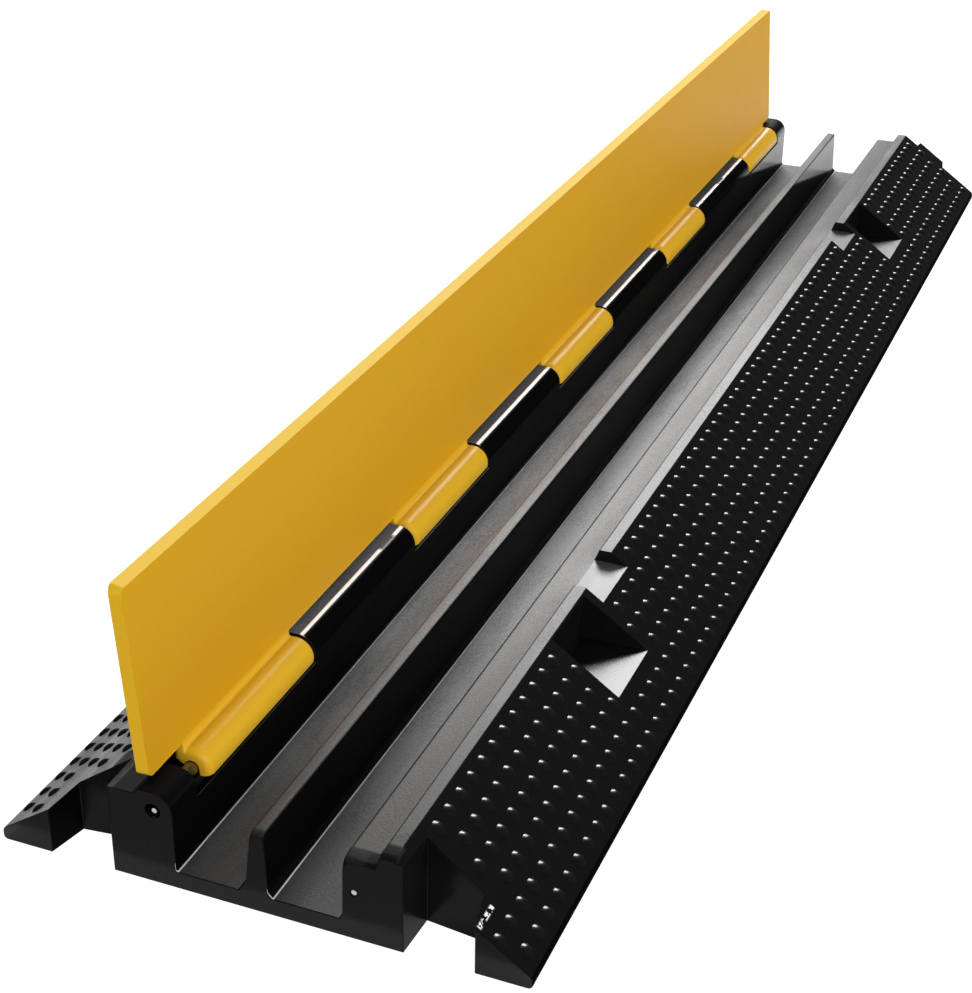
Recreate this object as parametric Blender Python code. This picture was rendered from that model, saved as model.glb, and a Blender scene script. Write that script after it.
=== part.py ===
"""Cable protector ramp with two channels and a hinged lid, shown with the lid open.

Metres, +Z up. X runs across the ramps, with the hinge on the -X side and the lid's landing ledge
on the +X side. Y runs along the channels: the socketed end is at -Y, the tabbed end at +Y.
The origin is on the floor, under the middle of the whole length, tabs included.
"""
import math

import bmesh
import bpy
from mathutils import Matrix

# Moulded base, overall
body_length = 1.000
body_width = 0.2435
tab_reach = 0.018
near_y = -(body_length + tab_reach) / 2
far_y = near_y + body_length
half_width = body_width / 2

# Cross-section of the base
edge_height = 0.0055
edge_round = 0.003
crown_height = 0.046
crown_x = 0.0632
shoulder_height = 0.0436
lip_inner_x = 0.0568
ledge_height = 0.0398
ledge_inner_x = 0.0404
ledge_outer_x = 0.0546
floor_height = 0.0085
floor_fillet = 0.0018
channel_left_x = -0.0364
divider_left_x = -0.0009
divider_right_x = 0.0053
ramp_slope = (crown_height - edge_height) / (half_width - crown_x)
block_half_width = half_width - (shoulder_height - edge_height) / ramp_slope

# Hinge
knuckle_radius = 0.0091
axis_x = channel_left_x - knuckle_radius
axis_z = 0.037
rod_radius = 0.0032
bore_radius = 0.0035
rod_inset = 0.001
barrel_pitch = 0.2144
first_barrel = 0.0325
barrel_lengths = (0.0975, 0.0975, 0.0975, 0.0910, 0.0845)
first_gap = 0.0115
knuckle_gap = 0.002
pocket_radius = 0.0096
pocket_sill = 0.033

# Lid
lid_thickness = 0.006
lid_gap = 0.0003
lid_inset = 0.006
lid_heel = 0.0115
lid_reach = 0.0997
lid_edge_lean = 0.0014
lid_corner = 0.003
open_angle = math.radians(94)
slot_radius = 0.0036
hook_tip = -0.0032

# Connector sockets at the near end, tabs at the far end
socket_depth = 0.0215
socket_outer_depth = 0.0186
socket_mouth = (block_half_width, 0.0973)
socket_back = (block_half_width + 0.001, 0.0935)
tab_root = (0.0712, 0.0955)
tab_tip = (0.0727, 0.0925)
tab_drop = 0.0035

# Hand grips and finger notches in the right-hand ramp, measured from each end
grip_span = (0.1745, 0.2180)
grip_inner_x = 0.0640
grip_outer_x = 0.0976
notch_span = (0.2240, 0.2610)
notch_inner_x = 0.0520
notch_outer_x = 0.0780

# Pin mark in the near end face
pin_mark_x = 0.0450
pin_mark_z = 0.0232
pin_mark_radius = 0.0016
pin_mark_depth = 0.003

clear_of_part = 0.080
clear_of_plan = 0.005
round_steps = 4
circle_sides = 48


def ramp_height(x):
    return edge_height + (half_width - abs(x)) * ramp_slope


def clear_scene():
    for item in list(bpy.data.objects):
        bpy.data.objects.remove(item, do_unlink=True)


def new_collection(name):
    collection = bpy.data.collections.new(name)
    bpy.context.scene.collection.children.link(collection)
    return collection


def new_material(name, colour, roughness, metallic=0.0):
    material = bpy.data.materials.new(name)
    material.use_nodes = True
    shader = material.node_tree.nodes["Principled BSDF"]
    shader.inputs["Base Color"].default_value = (*colour, 1.0)
    shader.inputs["Roughness"].default_value = roughness
    shader.inputs["Metallic"].default_value = metallic
    return material


def arc(centre_x, centre_y, radius, start, end, steps):
    # Points along an arc, angles in degrees
    points = []
    for step in range(steps + 1):
        angle = math.radians(start + (end - start) * step / steps)
        points.append((centre_x + radius * math.cos(angle), centre_y + radius * math.sin(angle)))
    return points


def rounded_outline(corners, steps=round_steps):
    # Corners are (x, y, radius), and each corner with a radius becomes an arc
    points = []
    count = len(corners)
    for index, (x, y, radius) in enumerate(corners):
        if radius == 0:
            points.append((x, y))
            continue
        before = corners[index - 1]
        after = corners[(index + 1) % count]
        to_before = (before[0] - x, before[1] - y)
        to_after = (after[0] - x, after[1] - y)
        angle_before = math.atan2(to_before[1], to_before[0])
        angle_after = math.atan2(to_after[1], to_after[0])
        opening = (angle_after - angle_before + math.pi) % (2 * math.pi) - math.pi
        half = abs(opening) / 2
        middle = angle_before + opening / 2
        centre_x = x + radius / math.sin(half) * math.cos(middle)
        centre_y = y + radius / math.sin(half) * math.sin(middle)
        sweep = math.pi - 2 * half
        turn = 1 if opening > 0 else -1
        facing = middle + math.pi
        arc_steps = max(steps, math.ceil(math.degrees(sweep) / 9)) if radius > 0.004 else steps
        start = math.degrees(facing + turn * sweep / 2)
        end = math.degrees(facing - turn * sweep / 2)
        points += arc(centre_x, centre_y, radius, start, end, arc_steps)
    return points


def extruded(name, outline, low, high, collection, upright=False):
    # A flat outline drawn as a filled 2D curve, extruded, then turned into a welded mesh.
    # The outline is in X and Z and runs along Y, or is in X and Y and runs upwards if upright.
    curve = bpy.data.curves.new(name + "_outline", "CURVE")
    curve.dimensions = "2D"
    curve.fill_mode = "BOTH"
    curve.extrude = (high - low) / 2
    spline = curve.splines.new("POLY")
    spline.points.add(len(outline) - 1)
    for point, (x, y) in zip(spline.points, outline):
        point.co = (x, y, 0, 1)
    spline.use_cyclic_u = True
    drawing = bpy.data.objects.new(name + "_drawing", curve)
    collection.objects.link(drawing)
    middle = (low + high) / 2
    if upright:
        drawing.matrix_world = Matrix.Translation((0, 0, middle))
    else:
        drawing.matrix_world = Matrix.Translation((0, middle, 0)) @ Matrix.Rotation(math.pi / 2, 4, "X")
    bpy.context.view_layer.update()
    evaluated = drawing.evaluated_get(bpy.context.evaluated_depsgraph_get())
    mesh = bpy.data.meshes.new_from_object(evaluated)
    mesh.transform(drawing.matrix_world)
    bpy.data.objects.remove(drawing, do_unlink=True)
    bpy.data.curves.remove(curve)
    shape = bmesh.new()
    shape.from_mesh(mesh)
    bmesh.ops.remove_doubles(shape, verts=shape.verts, dist=0.00001)
    bmesh.ops.recalc_face_normals(shape, faces=shape.faces)
    shape.to_mesh(mesh)
    shape.free()
    mesh.name = name
    solid = bpy.data.objects.new(name, mesh)
    collection.objects.link(solid)
    return solid


def rod_along_y(name, radius, low, high, x, z, collection):
    shape = bmesh.new()
    turn = Matrix.Rotation(math.pi / 2, 4, "X")
    place = Matrix.Translation((x, (low + high) / 2, z)) @ turn
    bmesh.ops.create_cone(shape, cap_ends=True, segments=circle_sides, radius1=radius, radius2=radius,
                          depth=high - low, matrix=place)
    mesh = bpy.data.meshes.new(name)
    shape.to_mesh(mesh)
    shape.free()
    solid = bpy.data.objects.new(name, mesh)
    collection.objects.link(solid)
    return solid


def block(name, low, high, collection):
    shape = bmesh.new()
    bmesh.ops.create_cube(shape, size=1.0)
    for vertex in shape.verts:
        for axis in range(3):
            middle = (low[axis] + high[axis]) / 2
            vertex.co[axis] = middle + vertex.co[axis] * (high[axis] - low[axis])
    mesh = bpy.data.meshes.new(name)
    shape.to_mesh(mesh)
    shape.free()
    solid = bpy.data.objects.new(name, mesh)
    collection.objects.link(solid)
    return solid


def apply_boolean(target, tool, operation):
    modifier = target.modifiers.new(tool.name, "BOOLEAN")
    modifier.operation = operation
    modifier.object = tool
    tool.hide_render = True
    tool.display_type = "WIRE"


def shade(solid, material):
    solid.data.materials.clear()
    solid.data.materials.append(material)
    solid.data.shade_smooth()
    solid.data.set_sharp_from_angle(angle=math.radians(30))


def base_outline():
    # Around the section from the left foot over the hinge, channels and lip to the right foot
    return rounded_outline([
        (-half_width, 0, 0.002),
        (-half_width, edge_height, edge_round),
        (-block_half_width, shoulder_height, 0.001),
        (axis_x - 0.0093, shoulder_height, 0),
        (axis_x - 0.0060, axis_z + knuckle_radius, 0.001),
        (channel_left_x, axis_z + knuckle_radius, knuckle_radius),
        (channel_left_x, floor_height, floor_fillet),
        (divider_left_x - 0.0061, floor_height, floor_fillet),
        (divider_left_x - 0.0031, floor_height + 0.004, 0.003),
        (divider_left_x, ledge_height, 0.0016),
        (divider_right_x, ledge_height, 0.0016),
        (divider_right_x + 0.0011, floor_height + 0.0025, 0.0015),
        (divider_right_x + 0.0035, floor_height, floor_fillet),
        (ledge_inner_x - 0.0008, floor_height, floor_fillet),
        (ledge_inner_x, ledge_height, 0.0014),
        (ledge_outer_x, ledge_height, 0.0005),
        (lip_inner_x, crown_height, 0.001),
        (crown_x, crown_height, 0.0012),
        (half_width, edge_height, edge_round),
        (half_width, 0, 0.002),
    ])


def barrel_spans():
    # Near and far end of each lid barrel along Y
    spans = []
    for index, length in enumerate(barrel_lengths):
        start = near_y + first_barrel + index * barrel_pitch
        spans.append((start, start + length))
    return spans


def knuckle_pocket_outline():
    # Room for one barrel to turn, open upwards and towards the channel
    sill_angle = math.degrees(math.asin((pocket_sill - axis_z) / pocket_radius))
    bottom = arc(axis_x, axis_z, pocket_radius, 180, 360 + sill_angle, 16)
    open_x = channel_left_x + 0.006
    return [(axis_x - pocket_radius, clear_of_part)] + bottom + [(open_x, pocket_sill), (open_x, clear_of_part)]


def make_base(parts, cutters, rubber):
    base = extruded("base", base_outline(), near_y, far_y, parts)

    for side, name in ((-1, "left"), (1, "right")):
        tab_plan = [(side * tab_root[0], far_y - 0.004), (side * tab_root[1], far_y - 0.004),
                    (side * tab_root[1], far_y), (side * tab_tip[1], far_y + tab_reach),
                    (side * tab_tip[0], far_y + tab_reach), (side * tab_root[0], far_y)]
        low_x = tab_root[0] - 0.002
        high_x = tab_root[1] + 0.002
        tab_side = [(side * low_x, 0), (side * high_x, 0), (side * high_x, ramp_height(high_x) - tab_drop),
                    (side * low_x, ramp_height(low_x) - tab_drop)]
        tab = extruded(name + "_tab", tab_plan, 0, clear_of_part, cutters, upright=True)
        slope = extruded(name + "_tab_slope", tab_side, far_y - 0.010, far_y + tab_reach + 0.010, cutters)
        apply_boolean(tab, slope, "INTERSECT")
        apply_boolean(base, tab, "UNION")

        socket_plan = [(side * socket_mouth[0], near_y - 0.010), (side * socket_mouth[1], near_y - 0.010),
                       (side * socket_mouth[1], near_y), (side * socket_back[1], near_y + socket_outer_depth),
                       (side * socket_back[0], near_y + socket_depth), (side * socket_mouth[0], near_y)]
        socket = extruded(name + "_socket", socket_plan, -0.010, clear_of_part, cutters, upright=True)
        apply_boolean(base, socket, "DIFFERENCE")

    for index, (start, end) in enumerate(barrel_spans()):
        gap = first_gap if index == 0 else knuckle_gap
        pocket = extruded("knuckle_pocket_%d" % (index + 1), knuckle_pocket_outline(), start - gap,
                          end + knuckle_gap, cutters)
        apply_boolean(base, pocket, "DIFFERENCE")

    for end_name in ("near", "far"):
        grip_y = [near_y + distance if end_name == "near" else far_y - distance for distance in grip_span]
        grip = block(end_name + "_grip", (grip_inner_x, min(grip_y), ramp_height(grip_outer_x)),
                     (grip_outer_x + 0.010, max(grip_y), clear_of_part), cutters)
        apply_boolean(base, grip, "DIFFERENCE")
        notch_y = [near_y + distance if end_name == "near" else far_y - distance for distance in notch_span]
        notch = block(end_name + "_finger_notch", (notch_inner_x, min(notch_y), ledge_height),
                      (notch_outer_x, max(notch_y), clear_of_part), cutters)
        apply_boolean(base, notch, "DIFFERENCE")

    bore = rod_along_y("hinge_bore", bore_radius, near_y - 0.010, far_y + 0.010, axis_x, axis_z, cutters)
    apply_boolean(base, bore, "DIFFERENCE")
    pin_mark = rod_along_y("pin_mark", pin_mark_radius, near_y - 0.010, near_y + pin_mark_depth,
                           pin_mark_x, pin_mark_z, cutters)
    apply_boolean(base, pin_mark, "DIFFERENCE")
    shade(base, rubber)
    return base


def hook_outline():
    # One barrel of the lid, drawn with the lid closed and the hinge axis at 0, 0: a hook around the
    # rod that opens away from the lid
    underside = ledge_height + lid_gap - axis_z
    web_x = math.sqrt(knuckle_radius ** 2 - underside ** 2)
    tip_z = -math.sqrt(knuckle_radius ** 2 - hook_tip ** 2)
    outer = arc(0, 0, knuckle_radius, math.degrees(math.atan2(underside, web_x)),
                math.degrees(math.atan2(tip_z, hook_tip)), 18)
    inner = arc(0, 0, slot_radius, -90, 75, 18)
    return ([(0.003, knuckle_radius), (lid_heel + 0.002, knuckle_radius), (lid_heel + 0.002, underside)]
            + outer + [(hook_tip, -slot_radius)] + inner)


def make_lid(parts, cutters, plastic):
    # Drawn closed about its hinge axis, and then turned open about it
    underside = ledge_height + lid_gap - axis_z
    near_edge = near_y + lid_inset
    far_edge = far_y - lid_inset
    top = underside + lid_thickness
    section = [(lid_heel - clear_of_plan, underside), (lid_reach, underside),
               (lid_reach + lid_edge_lean, top), (lid_heel - clear_of_plan, top)]
    lid = extruded("lid", section, near_edge - clear_of_plan, far_edge + clear_of_plan, parts)
    plan_reach = lid_reach + lid_edge_lean + lid_gap
    plan = rounded_outline([
        (lid_heel, near_edge, lid_corner), (plan_reach, near_edge, lid_corner),
        (plan_reach, far_edge, lid_corner), (lid_heel, far_edge, lid_corner)])
    plate = extruded("lid_plan", plan, underside - clear_of_plan, top + clear_of_plan, cutters, upright=True)
    apply_boolean(lid, plate, "INTERSECT")
    plate.parent = lid
    for index, (start, end) in enumerate(barrel_spans()):
        hook = extruded("lid_hook_%d" % (index + 1), hook_outline(), start, end, cutters)
        apply_boolean(lid, hook, "UNION")
        hook.parent = lid
    lid.location = (axis_x, 0, axis_z)
    lid.rotation_euler = (0, -open_angle, 0)
    shade(lid, plastic)
    return lid


def main():
    clear_scene()
    parts = new_collection("cable_protector_ramp")
    cutters = new_collection("cutters")
    rubber = new_material("black_rubber", (0.012, 0.012, 0.013), 0.62)
    plastic = new_material("yellow_plastic", (0.62, 0.30, 0.02), 0.42)
    steel = new_material("zinc_steel", (0.55, 0.56, 0.58), 0.35, 1.0)
    make_base(parts, cutters, rubber)
    rod = rod_along_y("hinge_rod", rod_radius, near_y + rod_inset, far_y - rod_inset, axis_x, axis_z, parts)
    shade(rod, steel)
    make_lid(parts, cutters, plastic)


main()
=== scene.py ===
import math

import bmesh
import bpy
from mathutils import Matrix, Vector, noise


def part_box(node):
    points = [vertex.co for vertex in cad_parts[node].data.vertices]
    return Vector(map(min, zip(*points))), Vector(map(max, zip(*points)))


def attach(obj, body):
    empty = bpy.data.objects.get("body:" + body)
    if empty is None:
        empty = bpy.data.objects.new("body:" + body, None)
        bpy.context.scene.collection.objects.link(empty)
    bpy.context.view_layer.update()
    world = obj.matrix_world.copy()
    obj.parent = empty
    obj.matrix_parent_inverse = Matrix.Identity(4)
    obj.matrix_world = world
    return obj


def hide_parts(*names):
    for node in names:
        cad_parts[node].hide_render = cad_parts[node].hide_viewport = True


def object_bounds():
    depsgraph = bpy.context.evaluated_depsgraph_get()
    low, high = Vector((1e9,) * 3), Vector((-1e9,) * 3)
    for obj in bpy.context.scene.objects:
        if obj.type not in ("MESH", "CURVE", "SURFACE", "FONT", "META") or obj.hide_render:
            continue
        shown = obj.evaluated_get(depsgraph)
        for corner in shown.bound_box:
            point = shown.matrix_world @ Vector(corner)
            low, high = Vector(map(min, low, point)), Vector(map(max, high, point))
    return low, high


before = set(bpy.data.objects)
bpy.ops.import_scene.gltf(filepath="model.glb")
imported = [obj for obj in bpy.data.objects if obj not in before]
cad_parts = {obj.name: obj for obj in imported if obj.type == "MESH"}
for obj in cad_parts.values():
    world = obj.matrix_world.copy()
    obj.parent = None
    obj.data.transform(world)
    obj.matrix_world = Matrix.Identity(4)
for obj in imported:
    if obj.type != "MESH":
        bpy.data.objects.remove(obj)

# Floor cord cover: a black rubber ramp with two channels, and a yellow lid standing open on its hinge.
# Metres, +Z up, +Y along the channels to the tabbed end.

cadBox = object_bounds()
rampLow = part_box("base")[0]
rodLow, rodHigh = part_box("hinge_rod")
mm = 0.001

# Sizes of the ramp that several pieces use: across from the middle plane, along from each end
bodyLength = 1.0
rampFoot = {"crownX": 63.2 * mm, "crownZ": 46 * mm, "edgeX": 121.75 * mm, "edgeZ": 5.5 * mm}
socketCut = {"inner": 66.7 * mm, "outer": 97.3 * mm, "depth": 21.5 * mm}
gripCut = {"inner": 64.0 * mm, "outer": 97.6 * mm, "from": 174.5 * mm, "to": 218.0 * mm}
notchCut = {"inner": 54.6 * mm, "outer": 72.2 * mm, "from": 224.0 * mm, "to": 261.0 * mm}

# Camera, where the photograph was taken from
view = {
    "place": (0.31675, -1.05440, 0.52746),
    "azimuth": 21.712,       # degrees round from looking along +Y
    "elevation": 28.13,
    "roll": 0.741,
    "focalPixels": 1947.4,
    "longSide": 993,
    "sensor": 36,
    "clip": (0.01, 50),
}


def makeCamera(values):
    lens = bpy.data.cameras.new("photo_camera")
    lens.sensor_width = values["sensor"]
    lens.lens = values["focalPixels"] * lens.sensor_width / values["longSide"]
    lens.clip_start, lens.clip_end = values["clip"]
    camera = bpy.data.objects.new("photo_camera", lens)
    bpy.context.scene.collection.objects.link(camera)
    bpy.context.scene.camera = camera
    turn = Matrix.Rotation(math.radians(values["azimuth"]), 4, "Z")
    tilt = Matrix.Rotation(math.radians(90 - values["elevation"]), 4, "X")
    roll = Matrix.Rotation(math.radians(values["roll"]), 4, "Z")
    camera.matrix_world = Matrix.Translation(values["place"]) @ turn @ tilt @ roll


# Floor, wall and lights. The camera sees a white floor and wall, and a second floor that it doesn't see
# lights the object from below.
studio = {
    "floorSize": 14.0,
    "floorDepth": 0.2 * mm,           # below the object
    "bounceDepth": 0.4 * mm,
    "seenGrey": 0.20,
    "seenGlow": 1.00,
    "bounceGrey": 0.75,
    "bounceEdges": (0.121, -0.520),   # the floor that lights the object ends at its right and near sides
    "wallRadius": 6.9,
    "wallHeight": 9.0,
    "wallFoot": -0.1,
    "skyGrey": 0.05,
    "lights": (
        # name, place, aimed at, width, height, watts, seen in gloss
        ("back_softbox", (-1.40, 4.59, 2.91), (0.0, 0.0, 0.03), 2.8, 2.2, 300, True),
        ("left_softbox", (-2.4, 0.2, 1.6), (0.0, 0.0, 0.03), 1.2, 1.2, 12, True),
        ("front_fill", (1.6, -2.9, 1.3), (0.0, 0.0, 0.05), 3.4, 2.2, 105, False),
        ("right_fill", (3.0, 1.0, 1.4), (0.0, 0.1, 0.05), 2.4, 1.6, 84, False),
    ),
}


def makeStageMesh(name, shape, grey, glow):
    mesh = bpy.data.meshes.new(name)
    shape.to_mesh(mesh)
    shape.free()
    stage = bpy.data.objects.new(name, mesh)
    bpy.context.scene.collection.objects.link(stage)
    paint = Shader(name + "_paint")
    paint.put("Base Color", (grey, grey, grey, 1))
    paint.put("Roughness", 0.8)
    paint.put("Specular IOR Level", 0.2)
    paint.put("Emission Color", (1, 1, 1, 1))
    paint.put("Emission Strength", glow)
    mesh.materials.append(paint.material)
    stage.visible_shadow = False
    return stage


def makeFloor(name, grey, glow, depth, middle):
    shape = bmesh.new()
    bmesh.ops.create_grid(shape, x_segments=1, y_segments=1, size=studio["floorSize"] / 2)
    floor = makeStageMesh(name, shape, grey, glow)
    floor.location = (middle[0], middle[1], cadBox[0].z - depth)
    return floor


def makeWall(name, grey, glow):
    # a round wall about the floor, for the views from low down
    shape = bmesh.new()
    bmesh.ops.create_cone(shape, cap_ends=False, segments=64, radius1=studio["wallRadius"],
                          radius2=studio["wallRadius"], depth=studio["wallHeight"])
    wall = makeStageMesh(name, shape, grey, glow)
    wall.location.z = studio["wallHeight"] / 2 + studio["wallFoot"]
    return wall


def makeStudio(values):
    for seen in (makeFloor("floor", values["seenGrey"], values["seenGlow"], values["floorDepth"], (0, 0)),
                 makeWall("wall", 0.0, values["seenGlow"])):
        seen.visible_glossy = False
        seen.visible_diffuse = False
    rightEdge, nearEdge = values["bounceEdges"]
    half = values["floorSize"] / 2
    middle = (rightEdge - half, nearEdge + half)
    bounce = makeFloor("floor_bounce", values["bounceGrey"], 0.0, values["bounceDepth"], middle)
    bounce.visible_camera = False

    world = bpy.data.worlds.new("studio_air")
    bpy.context.scene.world = world
    world.use_nodes = True
    air = world.node_tree.nodes["Background"]
    air.inputs["Color"].default_value = (values["skyGrey"], values["skyGrey"], values["skyGrey"], 1)

    for name, place, target, width, height, watts, inGloss in values["lights"]:
        lamp = bpy.data.lights.new(name, "AREA")
        lamp.shape = "RECTANGLE"
        lamp.size = width
        lamp.size_y = height
        lamp.energy = watts
        holder = bpy.data.objects.new(name, lamp)
        holder.location = place
        holder.visible_glossy = inGloss
        aim = Vector(target) - Vector(place)
        holder.rotation_euler = aim.to_track_quat("-Z", "Y").to_euler()
        bpy.context.scene.collection.objects.link(holder)
    bpy.context.scene.view_settings.view_transform = "Standard"


# Shader maths
class Signal:
    # A shader socket that takes part in sums, such as 1 - mask * 0.5
    def __init__(self, shader, socket):
        self.shader = shader
        self.socket = socket

    def maths(self, operation, first, second):
        return self.shader.node("ShaderNodeMath", {"operation": operation}, {0: first, 1: second})

    def __add__(self, other):
        return self.maths("ADD", self, other)

    def __radd__(self, other):
        return self.maths("ADD", other, self)

    def __sub__(self, other):
        return self.maths("SUBTRACT", self, other)

    def __rsub__(self, other):
        return self.maths("SUBTRACT", other, self)

    def __mul__(self, other):
        return self.maths("MULTIPLY", self, other)

    def __rmul__(self, other):
        return self.maths("MULTIPLY", other, self)

    def __pow__(self, other):
        return self.maths("POWER", self, other)


class Shader:
    def __init__(self, name):
        self.material = bpy.data.materials.new(name)
        self.material.use_nodes = True
        self.tree = self.material.node_tree
        self.skin = self.tree.nodes["Principled BSDF"]

    def node(self, kind, settings=None, values=None, output=0):
        # Any node: its settings first, then the values or links of its sockets
        made = self.tree.nodes.new(kind)
        for name, value in (settings or {}).items():
            setattr(made, name, value)
        for key, value in (values or {}).items():
            if isinstance(value, Signal):
                self.tree.links.new(value.socket, made.inputs[key])
            else:
                made.inputs[key].default_value = value
        return Signal(self, made.outputs[output])

    def put(self, name, value):
        if isinstance(value, Signal):
            self.tree.links.new(value.socket, self.skin.inputs[name])
        else:
            self.skin.inputs[name].default_value = value

    def place(self):
        # Where a point is in the part's own frame
        return self.node("ShaderNodeTexCoord", output="Object")

    def facing(self):
        # Which way a point of the surface faces, in the part's own frame
        return self.node("ShaderNodeTexCoord", output="Normal")

    def parts(self, vector):
        split = self.node("ShaderNodeSeparateXYZ", None, {0: vector})
        return [Signal(self, socket) for socket in split.socket.node.outputs]

    def step(self, value, low, high):
        # 0 below low, 1 above high, smooth between
        return self.node("ShaderNodeMapRange", {"interpolation_type": "SMOOTHSTEP"},
                         {"Value": value, "From Min": low, "From Max": high})

    def above(self, value, level, soft=0.5 * mm):
        return self.step(value, level - soft, level + soft)

    def below(self, value, level, soft=0.5 * mm):
        return self.step(value, level + soft, level - soft)

    def band(self, value, low, high, soft=0.4 * mm):
        return self.above(value, low, soft) * self.below(value, high, soft)

    def noise(self, vector, scale, detail=2.0, roughness=0.5):
        return self.node("ShaderNodeTexNoise", None,
                         {"Vector": vector, "Scale": scale, "Detail": detail, "Roughness": roughness})

    def stretched(self, vector, scale):
        return self.node("ShaderNodeVectorMath", {"operation": "MULTIPLY"}, {0: vector, 1: scale})

    def cover(self, factor, shade):
        # Another shader over the main one where the factor is 1
        over = self.node("ShaderNodeMixShader", None,
                         {0: factor, 1: Signal(self, self.skin.outputs[0]), 2: shade})
        self.tree.links.new(over.socket, self.tree.nodes["Material Output"].inputs["Surface"])

    def largest(self, *values):
        found = values[0]
        for value in values[1:]:
            found = self.node("ShaderNodeMath", {"operation": "MAXIMUM"}, {0: found, 1: value})
        return found

    def blend(self, factor, first, second):
        return self.node("ShaderNodeMix", {"data_type": "RGBA"},
                         {"Factor": factor, "A": first, "B": second}, output=2)


# Rubber. Its greys and pale lines are set to the photo, so they hold some of its light and shade.
rubber = {
    "black": (0.0045, 0.0045, 0.0050, 1),
    # the near end faces: a lighter grey, painted light
    "nearEndGrey": (0.0150, 0.0150, 0.0155, 1),
    # the grey tops: dust and painted sheen, lighter towards the far end
    "dustSheenNear": (0.026, 0.026, 0.027, 1),
    "dustSheenFar": (0.330, 0.335, 0.345, 1),
    # the channel floors: dust and painted sheen, lighter towards the far end
    "floorNear": (0.052, 0.052, 0.053, 1),
    "floorFar": (0.770, 0.770, 0.780, 1),
    # painted reflection on the left ramp's near end
    "leftSheenGrey": (0.420, 0.420, 0.422, 1),
    # the lug tops: dust and painted sheen
    "lugDustSheen": (0.120, 0.125, 0.140, 1),
    # painted light on the channels' walls at the far end
    "farWallLight": (0.200, 0.200, 0.205, 1),
    # painted reflection on the notch floors
    "notchReflection": (0.14, 0.14, 0.14, 1),
    # near-white for the painted highlights and the pale specks
    "paleMark": (0.95, 0.95, 0.95, 1),
    "shade": (0.0015, 0.0015, 0.0015, 1),
    "roughness": 0.18,
    "specular": 0.35,
    "bumpRoughness": 0.27,
    "bumpSpecular": 0.80,
    "grainSize": 1.1 * mm,
    "speckSize": 0.8 * mm,
    "paleSpeckScale": 420.0,
    "patchScale": (60.0, 14.0, 60.0),
    "lineScale": (0.0, 26.0, 0.0),
    "sheenGrows": (-0.02, 0.32),    # painted sheen, from none to full along the ramp
    "farFades": (0.50, 0.90),      # from full to less
    "leftFades": (0.42, 0.14),     # from little to full
}

# Where the finishes lie: x from the middle plane, z from the floor
zones = {
    "hinge": {"x": -36.5 * mm, "z": 36.5 * mm, "end": 32.5 * mm, "firstLug": 41.0 * mm},
    "lug": (-56.0 * mm, -36.0 * mm),
    "crest": {"x": (-4.0 * mm, 8.0 * mm), "z": 30.5 * mm},
    "ledge": {"x": (38.5 * mm, 64.5 * mm), "z": 34.5 * mm, "worn": 8.0 * mm},
    "flatTop": (-50.8 * mm, 64.0 * mm),
    "lip": {"x": (56.0 * mm, 64.5 * mm), "z": 42.5 * mm, "step": 50.0 * mm},
    "left": -63.7 * mm,
    "channel": {"x": (-40.0 * mm, 45.0 * mm), "z": 11.5 * mm},
    "fillet": {"x": (-40.0 * mm, 20.0 * mm), "z": 12.75 * mm},
    "wall": {"x": 45.75 * mm, "z": 10.0 * mm},
    "hingeEdge": {"x": -25.0 * mm, "z": 30.5 * mm},
    "footEdge": 120.0 * mm,
    "notch": (notchCut["inner"], 80.0 * mm),
    # where the pale specks lie
    "paleMark": {"x": (97.4 * mm, 99.0 * mm), "along": (2.0 * mm, 16.0 * mm)},
    "nearEndGrey": 2.0 * mm,
}


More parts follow.
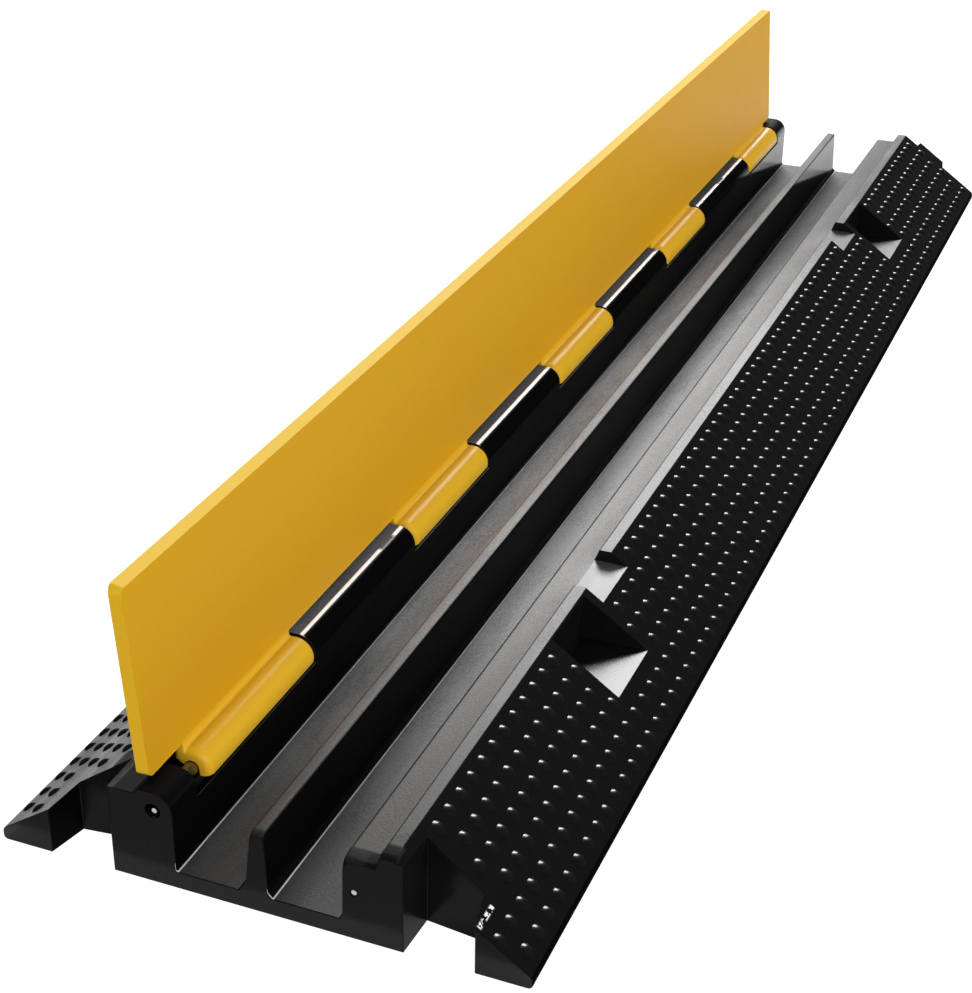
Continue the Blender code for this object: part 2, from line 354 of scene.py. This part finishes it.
def makeRubber(values):
    shader = Shader("black_rubber_moulded")
    place = shader.place()
    x, y, z = shader.parts(place)
    faceX, faceY, faceZ = shader.parts(shader.facing())
    along = y - rampLow.y
    fromEnd = shader.node("ShaderNodeMath", {"operation": "MINIMUM"}, {0: along, 1: bodyLength - along})
    # painted sheen that grows along the ramp
    sheenAlong = shader.step(along, *values["sheenGrows"])
    far = shader.step(along, *values["farFades"])
    grain = shader.noise(place, 1 / values["grainSize"], 3.0, 0.6)
    specks = shader.step(shader.noise(place, 1 / values["speckSize"], 2.0, 0.6), 0.32, 0.68)
    patches = shader.noise(shader.stretched(place, values["patchScale"]), 1.0, 4.0, 0.6)
    patches = shader.step(patches, 0.2, 0.8)
    flat = shader.step(faceZ, 0.970, 0.998)
    facesRight = shader.step(faceX, 0.85, 0.95)

    # floors of the notches and grips
    notch = flat * shader.band(x, *zones["notch"]) * shader.band(fromEnd, notchCut["from"], notchCut["to"])
    grip = flat * shader.band(x, gripCut["inner"], gripCut["outer"]) \
        * shader.band(fromEnd, gripCut["from"], gripCut["to"])

    # the hinge block: its plain ends, and the lugs. The light line along each lug is a painted highlight.
    hinge = shader.below(x, zones["hinge"]["x"]) * shader.above(z, zones["hinge"]["z"])
    hingeEnd = hinge * shader.below(fromEnd, zones["hinge"]["end"])
    lug = hinge * shader.band(x, *zones["lug"]) * shader.above(fromEnd, zones["hinge"]["firstLug"], 1 * mm)
    lugTop = lug * shader.step(faceZ, 0.50, 0.70) * shader.step(faceX, 0.07, 0.03)
    lineParts = shader.noise(shader.stretched(place, values["lineScale"]), 1.0, 2.0, 0.5)
    lugHighlight = lug * shader.band(faceX, 0.08, 0.27, 0.02) * shader.step(faceZ, 0.50, 0.70) \
        * shader.step(lineParts, 0.36, 0.42)
    lugFront = lug * shader.step(faceX, 0.27, 0.36)

    # what looks grey in the photo, of dust and painted sheen: flat tops and floors, the crest and the lugs
    crest = shader.step(faceZ, 0.50, 0.80) * shader.band(x, *zones["crest"]["x"]) \
        * shader.above(z, zones["crest"]["z"])
    ledge = shader.band(x, *zones["ledge"]["x"]) * shader.above(z, zones["ledge"]["z"])
    wornEnd = ledge * shader.below(along, zones["ledge"]["worn"], 1 * mm) * shader.step(faceZ, 0.45, 0.75)
    flatTop = flat * shader.band(x, *zones["flatTop"]) * (1 - notch) * (1 - hingeEnd)
    dustSheenTops = shader.largest(flatTop, crest, lugTop, wornEnd * grain)

    # the lip is black at its near end, along a ragged slanting line
    wornBack = (x - zones["lip"]["step"]) * 1.1 + 5 * mm + 12 * mm * (grain - 0.5)
    lipEnd = ledge * shader.above(x, zones["lip"]["step"]) * shader.below(along - wornBack, 0, 0.8 * mm)
    dustSheenShown = dustSheenTops * (1 - lipEnd)
    lip = shader.band(x, *zones["lip"]["x"]) * shader.above(z, zones["lip"]["z"])
    channel = shader.below(z, zones["channel"]["z"]) * shader.band(x, *zones["channel"]["x"])

    # the left ramp is grey with painted reflection at its near end, which alone shows, and plain rubber
    # further back is a guess
    left = shader.below(x, zones["left"], 0.3 * mm) * shader.step(faceZ, 0.72, 0.80)
    leftSheen = left * (0.12 + 0.88 * shader.step(along, *values["leftFades"]))

    # grey of dust and painted sheen, mottled, and how strongly it shows
    mottle = (0.55 + 0.65 * patches) * (0.65 + 0.45 * specks)
    strength = 0.85 + 0.30 * lip * (1 - far) + 0.10 * crest + 0.25 * channel
    fading = 1 - far * (0.30 + 0.40 * channel + 0.60 * lip * (1 - patches))
    dustSheenAmount = (dustSheenShown + leftSheen * (0.25 + patches)) * mottle * strength * fading
    dustAndSheen = shader.blend(sheenAlong, values["dustSheenNear"], values["dustSheenFar"])
    floorDustSheen = shader.blend(sheenAlong, values["floorNear"], values["floorFar"])
    dustAndSheen = shader.blend(channel, dustAndSheen, floorDustSheen)
    dustAndSheen = shader.blend(left, dustAndSheen, values["leftSheenGrey"])
    dustAndSheen = shader.blend(lug, dustAndSheen, values["lugDustSheen"])
    # painted light: the near end faces are a lighter grey
    cut = shader.step(faceY, -0.90, -0.98) * shader.below(along, zones["nearEndGrey"])
    colour = shader.blend(cut, values["black"], values["nearEndGrey"])
    colour = shader.blend(dustSheenAmount, colour, dustAndSheen)
    # painted reflection on the notch floors, less towards the far end
    colour = shader.blend(notch * (1 - 0.6 * sheenAlong), colour, values["notchReflection"])

    # painted on too: a highlight in the channels' left corners, painted light on their walls at the far
    # end, pale specks
    filletHighlight = shader.below(z, zones["fillet"]["z"], 0.25 * mm) * shader.band(x, *zones["fillet"]["x"]) \
        * shader.band(faceX, 0.30, 0.62, 0.06)
    channelWall = facesRight * shader.below(x, zones["wall"]["x"], 0.25 * mm)
    # the edge of the painted shadow on those walls
    farWallShadowEdge = z - 0.221 * (bodyLength - along)
    farWallLight = channelWall * shader.above(z, zones["wall"]["z"]) * shader.above(farWallShadowEdge, 9.5 * mm, 1.5 * mm)
    paleSpecks = shader.band(x, *zones["paleMark"]["x"]) * shader.band(along, *zones["paleMark"]["along"]) \
        * shader.step(shader.noise(place, values["paleSpeckScale"], 2.0, 0.6), 0.46, 0.52)
    colour = shader.blend(farWallLight, colour, values["farWallLight"])
    # painted highlights and pale specks in near-white
    bright = shader.largest(lugHighlight, paleSpecks, 0.8 * filletHighlight)
    shader.put("Base Color", shader.blend(bright, colour, values["paleMark"]))

    edgeLine = shader.step(faceX, -0.15, -0.40) * shader.above(z, zones["hingeEdge"]["z"]) \
        * shader.above(x, zones["hingeEdge"]["x"], 5 * mm)
    matt = 0.33 * dustSheenTops + 0.30 * wornEnd + 0.22 * leftSheen + 0.30 * lugTop \
        + 0.40 * hingeEnd * (1 - cut) + 0.40 * edgeLine
    pockets = 0.04 * grip + 0.15 * notch + far * (0.25 * (notch + grip) + 0.16 * flatTop)
    shader.put("Roughness", values["roughness"] + matt + pockets + 0.05 * patches)
    shader.put("Specular IOR Level", values["specular"])
    relief = grain * (0.12 + 0.88 * dustSheenTops) * (1 - 0.9 * grip)
    shader.put("Normal", shader.node("ShaderNodeBump", None,
                                     {"Strength": 0.45, "Distance": 0.4 * mm, "Height": relief}))

    # painted shade, made darker after the photo: walls facing right in the channels, foot edge, lug fronts,
    # hinge end tops
    footEdge = shader.above(x, zones["footEdge"]) * shader.step(faceX, 0.70, 0.80)
    hingeTop = hingeEnd * shader.step(faceZ, 0.40, 0.60)
    paintedShade = shader.largest(channelWall * (1 - farWallLight), footEdge, lugFront, 0.8 * hingeTop)
    shade = shader.node("ShaderNodeBsdfDiffuse", None, {"Color": values["shade"]})
    shader.cover(0.85 * paintedShade, shade)
    return shader.material


def makeBumpRubber(values):
    shader = Shader("black_rubber_bumps")
    place = shader.place()
    x, y = shader.parts(place)[:2]
    grain = shader.noise(place, 1 / values["grainSize"], 3.0, 0.6)
    shader.put("Base Color", values["black"])
    shader.put("Roughness", values["bumpRoughness"] + 0.05 * grain)
    shader.put("Specular IOR Level", values["bumpSpecular"])
    # painted shade: at the grey end of the left ramp they are flat near-black and take no gloss
    dustAndSheen = shader.below(x, 0, 1 * mm) * shader.step(y - rampLow.y, *values["leftFades"])
    shade = shader.node("ShaderNodeBsdfDiffuse", None, {"Color": values["shade"]})
    shader.cover(0.92 * dustAndSheen, shade)
    return shader.material


# Lid plastic. Its lighter edges and its change of yellow with height are set to the photo too.
plastic = {
    "yellow": (0.690, 0.368, 0.016, 1),
    # painted shade: the deep yellow low on the lid
    "shadedYellow": (0.575, 0.285, 0.0085, 1),
    # painted light: lighter yellows on the edges, the barrels and the top edge
    "edge": (0.920, 0.540, 0.024, 1),
    "barrel": (0.640, 0.365, 0.017, 1),
    "topEdge": (0.740, 0.470, 0.016, 1),
    "specular": 0.42,
    "grainSize": 1.4 * mm,
    "flowScale": (9.0, 4.0, 9.0),
    "toneAndShade": (45.0 * mm, 135.0 * mm),    # painted shade, from the deep to the light yellow, above the floor
    "barrelTop": 48.75 * mm,
    "topEdgeFrom": 131.5 * mm,
}


def makePlastic(values):
    shader = Shader("yellow_plastic_satin")
    place = shader.place()
    z = shader.parts(place)[2]
    faceX, _, faceZ = shader.parts(shader.facing())
    flow = shader.noise(shader.stretched(place, values["flowScale"]), 1.0, 2.0, 0.5)
    grain = shader.noise(place, 1 / values["grainSize"], 2.0, 0.5)
    edge = shader.step(faceX ** 2, 0.97, 0.20)
    barrel = shader.below(z, values["barrelTop"], 1.25 * mm)
    top = shader.step(faceZ, 0.35, 0.80) * shader.above(z, values["topEdgeFrom"], 1.5 * mm)
    # random tone, and painted shade that lightens with height
    toneAndShade = 0.35 * flow + 0.65 * shader.step(z, *values["toneAndShade"])
    colour = shader.blend(toneAndShade, values["shadedYellow"], values["yellow"])
    # painted light on the edges, the barrels and the up-facing top edge
    colour = shader.blend(edge, colour, values["edge"])
    colour = shader.blend(barrel, colour, values["barrel"])
    shader.put("Base Color", shader.blend(top, colour, values["topEdge"]))
    shader.put("Roughness", 0.40 + 0.10 * flow - 0.12 * barrel + 0.25 * top)
    shader.put("Specular IOR Level", values["specular"])
    shader.put("Normal", shader.node("ShaderNodeBump", None,
                                     {"Strength": 0.10, "Distance": 0.3 * mm, "Height": grain}))
    return shader.material


# Small steel pin in the near end, left of the right socket
pin = {"x": 45.0 * mm, "z": 23.2 * mm, "radius": 1.3 * mm, "sunk": 0.8 * mm, "length": 2.9 * mm,
       "sides": 20, "rings": 5}

# Steel of the rod and the pin. Their near ends are dark with painted shade, with a painted highlight as
# their light middle.
steel = {
    "bright": (0.46, 0.47, 0.49, 1),
    "dull": (0.12, 0.12, 0.125, 1),
    "endShade": (0.012, 0.012, 0.013, 1),
    "endHighlight": (0.80, 0.80, 0.80, 1),
    "middleSize": 1.5 * mm,
    "middleShift": 0.3 * mm,
    "drawnScale": (900.0, 25.0, 900.0),
}


def makeSteel(values):
    shader = Shader("drawn_steel")
    place = shader.place()
    x, y, z = shader.parts(place)
    drawn = shader.noise(shader.stretched(place, values["drawnScale"]), 1.0, 3.0, 0.6)
    end = shader.below(y, rodLow.y + 1.05 * mm, 0.15 * mm)
    rodX = x - ((rodLow.x + rodHigh.x) / 2 + values["middleShift"])
    rodZ = z - ((rodLow.z + rodHigh.z) / 2 - values["middleShift"])
    rodMiddle = (rodX ** 2 + rodZ ** 2) ** 0.5
    pinMiddle = ((x - pin["x"]) ** 2 + (z - pin["z"]) ** 2) ** 0.5
    size = values["middleSize"]
    # painted highlight in the middle of each near end
    middle = end * (shader.step(rodMiddle, size, size * 0.6) + shader.step(pinMiddle, size, size * 0.7))
    colour = shader.blend(drawn, values["dull"], values["bright"])
    colour = shader.blend(end, colour, values["endShade"])
    shader.put("Base Color", shader.blend(middle, colour, values["endHighlight"]))
    shader.put("Metallic", 1 - middle)
    shader.put("Roughness", 0.25 + 0.2 * drawn)
    return shader.material


# Making pieces
def addPiece(name, shape, material, body, node, smoothAngle=32, flatFaces=False):
    mesh = bpy.data.meshes.new(name)
    shape.to_mesh(mesh)
    shape.free()
    mesh.materials.append(material)
    mesh.shade_smooth()
    mesh.set_sharp_from_angle(angle=math.radians(smoothAngle))
    piece = bpy.data.objects.new(name, mesh)
    bpy.context.scene.collection.objects.link(piece)
    if flatFaces:
        # large faces keep their own direction, and the small roundings between them shade smoothly
        weighted = piece.modifiers.new("flat_faces", "WEIGHTED_NORMAL")
        weighted.weight = 80
        weighted.keep_sharp = True
    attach(piece, body)
    if node:
        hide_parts(node)
    print(name, "has", len(mesh.polygons), "faces")


def cleanCopy(node):
    # the node's mesh with its triangles joined back into flat faces
    shape = bmesh.new()
    shape.from_mesh(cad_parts[node].data)
    bmesh.ops.remove_doubles(shape, verts=shape.verts, dist=0.02 * mm)
    bmesh.ops.dissolve_limit(shape, angle_limit=math.radians(0.6), verts=shape.verts, edges=shape.edges)
    return shape


def roundEdges(shape, width, sharpAngle, segments=2):
    sharp = [edge for edge in shape.edges
             if edge.is_manifold and edge.calc_face_angle() > math.radians(sharpAngle)]
    bmesh.ops.bevel(shape, geom=sharp, offset=width, segments=segments, profile=0.5,
                    affect="EDGES", clamp_overlap=False)


# Bumps on both ramps
bumps = {
    "pitch": 12.12 * mm,       # along the ramp
    "firstColumn": {-1: 70.6 * mm, 1: 69.0 * mm},  # from the middle plane, on the left and right ramp
    "spacing": {-1: 9.15 * mm, 1: 9.3 * mm},       # across the ramp
    "skew": {-1: 0.0, 1: -0.3 * mm},               # along the ramp, for each further column
    "shift": {-1: 6.8 * mm, 1: -0.4 * mm},         # along the ramp, of the whole pattern
    "columns": 6,
    "radius": 3.0 * mm,
    "height": 1.25 * mm,
    "sides": 16,
    # distance from the middle as a share of the radius, and height as a share of the height
    "profile": ((1.20, -0.14), (1.03, 0.03), (0.92, 0.24), (0.77, 0.53), (0.57, 0.78), (0.31, 0.94)),
    "clearance": 3.6 * mm,
}


def nearBox(x, along, inner, outer, start, end, gap):
    return inner - gap < x < outer + gap and start - gap < along < end + gap


def bumpFits(side, x, along):
    gap = bumps["clearance"]
    if along < gap or along > bodyLength - gap:
        return False
    if nearBox(x, along, socketCut["inner"], socketCut["outer"], 0, socketCut["depth"], gap):
        return False
    if side > 0:
        fromEnd = min(along, bodyLength - along)
        for cut in (gripCut, notchCut):
            if nearBox(x, fromEnd, cut["inner"], cut["outer"], cut["from"], cut["to"], gap):
                return False
    return True


def addBump(shape, centre, slope):
    sides = bumps["sides"]
    rings = []
    for share, lift in bumps["profile"]:
        ring = []
        for step in range(sides):
            angle = math.tau * step / sides
            local = Vector((math.cos(angle) * share * bumps["radius"],
                            math.sin(angle) * share * bumps["radius"], lift * bumps["height"]))
            ring.append(shape.verts.new(centre + slope @ local))
        rings.append(ring)
    top = shape.verts.new(centre + slope @ Vector((0, 0, bumps["height"])))
    shape.faces.new(reversed(rings[0]))
    for low, high in zip(rings, rings[1:]):
        for step in range(sides):
            after = (step + 1) % sides
            shape.faces.new((low[step], low[after], high[after], high[step]))
    for step in range(sides):
        shape.faces.new((rings[-1][step], rings[-1][(step + 1) % sides], top))


def makeBumps(material):
    shape = bmesh.new()
    rise = (rampFoot["crownZ"] - rampFoot["edgeZ"]) / (rampFoot["edgeX"] - rampFoot["crownX"])
    count = 0
    for side in (-1, 1):
        slope = Matrix.Rotation(side * math.atan(rise), 3, "Y")
        for column in range(bumps["columns"]):
            x = bumps["firstColumn"][side] + column * bumps["spacing"][side]
            z = rampFoot["edgeZ"] + (rampFoot["edgeX"] - x) * rise
            along = bumps["shift"][side] + column * bumps["skew"][side]
            if (column % 2 == 0) == (side > 0):
                along += bumps["pitch"] / 2
            while along < bodyLength:
                if bumpFits(side, x, along):
                    addBump(shape, Vector((side * x, rampLow.y + along, z)), slope)
                    count += 1
                along += bumps["pitch"]
    print("bumps:", count)
    addPiece("ramp_bumps", shape, material, "ramp", None, 70)


# The near end of the ledge, lip and divider is rounded over, unevenly on the ledge and lip
wear = {
    "stations": (0.4, 1.0, 1.8, 2.8, 4.0, 5.6, 7.5),                      # mm from the near end
    "lines": (-0.2, 1.4, 3.0, 4.6, 42, 44.5, 47, 49.5, 52, 58, 60, 62),   # mm from the middle plane
    "length": 0.009,
    "lowest": 0.036,
    "ledgeX": (0.0385, 0.0645),
    "cornerX": 0.0445,
    "cornerWidth": 0.005,
    "dividerX": (-0.002, 0.0065),
    "ledge": 4.6 * mm,           # how far each part is rounded back
    "corner": 3.4 * mm,
    "divider": 4.0 * mm,
    "depth": 0.8,
    "wobbleAcross": 420,
    "wobbleUp": 120,
}


def cutAcross(shape, point, direction):
    everything = shape.verts[:] + shape.edges[:] + shape.faces[:]
    bmesh.ops.bisect_plane(shape, geom=everything, dist=1e-6, plane_co=point, plane_no=direction)


def wearNearEnd(shape):
    for station in wear["stations"]:
        cutAcross(shape, (0, rampLow.y + station * mm, 0), (0, 1, 0))
    for line in wear["lines"]:
        cutAcross(shape, (line * mm, 0, 0), (1, 0, 0))
    for vertex in shape.verts:
        x, y, z = vertex.co
        along = y - rampLow.y
        if along > wear["length"] or z < wear["lowest"]:
            continue
        if wear["ledgeX"][0] < x < wear["ledgeX"][1]:
            spot = Vector((x * wear["wobbleAcross"], y * wear["wobbleAcross"], z * wear["wobbleUp"]))
            wobble = noise.noise(spot)
            nearCorner = max(0.0, (wear["cornerX"] - x) / wear["cornerWidth"])
            radius = wear["ledge"] * (0.85 + 0.40 * wobble) + wear["corner"] * nearCorner
        elif wear["dividerX"][0] < x < wear["dividerX"][1]:
            radius = wear["divider"]
        else:
            continue
        reach = max(0.0, radius - along)
        vertex.co.z -= wear["depth"] * (radius - math.sqrt(radius ** 2 - reach ** 2))


def makeRamp(material):
    shape = cleanCopy("base")
    roundEdges(shape, 0.35 * mm, 28)
    wearNearEnd(shape)
    addPiece("moulded_ramp", shape, material, "ramp", "base", 40, True)


# Lid, drawn closed with its hinge axis at 0, 0 and then turned open
lid = {
    "axisX": -45.5 * mm,
    "axisZ": 37.0 * mm,
    "openAngle": 94,
    "underside": 3.1 * mm,     # above the axis
    "thickness": 6.0 * mm,
    "heel": 11.5 * mm,
    "reach": 99.7 * mm,
    "lean": 1.4 * mm,          # the free edge reaches this much further on the upper face
    "inset": 6.0 * mm,         # from each end of the ramp
    "corner": 3.0 * mm,
    "edgeRound": 2.4 * mm,
    "barrelRadius": 9.1 * mm,
    "slotRadius": 3.6 * mm,
    "barrelPitch": 214.4 * mm,
    "firstBarrel": 32.5 * mm,
    "barrelLengths": (97.5 * mm, 97.5 * mm, 97.5 * mm, 91.0 * mm, 84.5 * mm),
    "nearRound": 3.6 * mm,
    "farRound": 0.9 * mm,
    "fillet": 1.6 * mm,
    "tip": -3.2 * mm,
    "root": 2.6 * mm,          # the barrels reach this far under the plate from its heel
    "rootLap": 0.3 * mm,
    "filletLap": 0.05 * mm,
}


def arc(centre, radius, start, end, steps):
    points = []
    for step in range(steps + 1):
        angle = math.radians(start + (end - start) * step / steps)
        points.append((centre[0] + radius * math.cos(angle), centre[1] + radius * math.sin(angle)))
    return points


def barrelSection(inset):
    # A hook round the rod: along the plate, round the outside to the tip, and back round the slot
    outer = lid["barrelRadius"] - inset
    under = lid["underside"]
    fillet = lid["fillet"]
    filletZ = under - fillet
    filletX = math.sqrt((outer + fillet) ** 2 - filletZ ** 2)
    meet = math.degrees(math.atan2(filletZ, filletX))
    tipAngle = math.degrees(math.atan2(-math.sqrt(outer ** 2 - lid["tip"] ** 2), lid["tip"]))
    root = lid["heel"] + lid["root"]
    points = [(3 * mm, outer), (root, outer), (root, under + lid["rootLap"]),
              (root - 1 * mm, under - lid["filletLap"])]
    points += arc((filletX, filletZ - lid["filletLap"]), fillet, 90, 180 + meet, 5)
    points += arc((0, 0), outer, meet, tipAngle, 22)[1:]
    points.append((lid["tip"], -lid["slotRadius"]))
    points += arc((0, 0), lid["slotRadius"], -90, 75, 14)
    return points


def addLoft(shape, sections):
    rings = []
    for y, points in sections:
        rings.append([shape.verts.new((x, y, z)) for x, z in points])
    sides = len(rings[0])
    for low, high in zip(rings, rings[1:]):
        for step in range(sides):
            after = (step + 1) % sides
            shape.faces.new((low[step], high[step], high[after], low[after]))
    shape.faces.new(rings[0])
    shape.faces.new(reversed(rings[-1]))


def addBarrel(shape, start, end):
    sections = []
    steps = 5
    for step in range(steps + 1):
        angle = math.radians(90 * step / steps)
        sections.append((start + lid["nearRound"] * (1 - math.cos(angle)),
                         barrelSection(lid["nearRound"] * (1 - math.sin(angle)))))
    for step in range(3):
        angle = math.radians(90 * (1 - step / 2))
        sections.append((end - lid["farRound"] * (1 - math.cos(angle)),
                         barrelSection(lid["farRound"] * (1 - math.sin(angle)))))
    addLoft(shape, sections)


def addPlate(shape):
    corner = lid["corner"]
    near = rampLow.y + lid["inset"]
    far = rampLow.y + bodyLength - lid["inset"]
    outline = []
    outline += arc((lid["heel"] + corner, near + corner), corner, 180, 270, 8)
    outline += arc((lid["reach"] - corner, near + corner), corner, 270, 360, 8)
    outline += arc((lid["reach"] - corner, far - corner), corner, 0, 90, 8)
    outline += arc((lid["heel"] + corner, far - corner), corner, 90, 180, 8)
    plate = bmesh.new()
    low = [plate.verts.new((x, y, lid["underside"])) for x, y in outline]
    high = []
    for x, y in outline:
        share = max(0.0, (x - lid["reach"]) / corner + 1)
        high.append(plate.verts.new((x + lid["lean"] * share, y, lid["underside"] + lid["thickness"])))
    plate.faces.new(reversed(low))
    plate.faces.new(high)
    count = len(outline)
    for step in range(count):
        after = (step + 1) % count
        plate.faces.new((low[step], low[after], high[after], high[step]))
    rim = [edge for edge in plate.edges if edge.calc_face_angle() > math.radians(60)]
    bmesh.ops.bevel(plate, geom=rim, offset=lid["edgeRound"], segments=5, profile=0.5,
                    affect="EDGES", clamp_overlap=False)
    mesh = bpy.data.meshes.new("plate")
    plate.to_mesh(mesh)
    plate.free()
    shape.from_mesh(mesh)
    bpy.data.meshes.remove(mesh)


def makeLid(material):
    shape = bmesh.new()
    addPlate(shape)
    for index, length in enumerate(lid["barrelLengths"]):
        start = rampLow.y + lid["firstBarrel"] + index * lid["barrelPitch"]
        addBarrel(shape, start, start + length)
    bmesh.ops.recalc_face_normals(shape, faces=shape.faces)
    swing = Matrix.Rotation(-math.radians(lid["openAngle"]), 4, "Y")
    axis = Matrix.Translation((lid["axisX"], 0, lid["axisZ"]))
    bmesh.ops.transform(shape, matrix=axis @ swing, verts=shape.verts)
    addPiece("hinged_lid", shape, material, "cover", "lid", 40, True)


# Hinge rod, turned with a small chamfer at each end
rod = {"radius": 3.2 * mm, "chamfer": 0.5 * mm, "sides": 40}


def makeRod(material):
    centreX = (rodLow.x + rodHigh.x) / 2
    centreZ = (rodLow.z + rodHigh.z) / 2
    profile = ((0.0, rod["radius"] - rod["chamfer"]), (rod["chamfer"], rod["radius"]))
    stations = [(rodLow.y + along, radius) for along, radius in profile]
    stations += [(rodHigh.y - along, radius) for along, radius in reversed(profile)]
    sections = []
    for y, radius in stations:
        ring = arc((centreX, centreZ), radius, 0, 360, rod["sides"])[:-1]
        sections.append((y, ring))
    shape = bmesh.new()
    addLoft(shape, sections)
    bmesh.ops.recalc_face_normals(shape, faces=shape.faces)
    addPiece("steel_rod", shape, material, "ramp", "hinge_rod")


def makePin(material):
    sections = []
    for step in range(pin["rings"] + 1):
        # a low dome, from its middle out
        angle = math.radians(85 * step / pin["rings"])
        y = rampLow.y + pin["sunk"] - pin["radius"] * math.cos(angle) * 0.3
        radius = max(pin["radius"] * math.sin(angle), 0.02 * mm)
        ring = arc((pin["x"], pin["z"]), radius, 0, 360, pin["sides"])
        sections.append((y, ring[:-1]))
    sections.append((rampLow.y + pin["length"], sections[-1][1]))
    shape = bmesh.new()
    addLoft(shape, sections)
    bmesh.ops.recalc_face_normals(shape, faces=shape.faces)
    addPiece("pin_head", shape, material, "ramp", None, 60)


print("camera and studio")
makeCamera(view)
makeStudio(studio)
print("ramp")
makeRamp(makeRubber(rubber))
makeBumps(makeBumpRubber(rubber))
print("lid")
makeLid(makePlastic(plastic))
print("rod and pin")
drawnSteel = makeSteel(steel)
makeRod(drawnSteel)
makePin(drawnSteel)

print("done")
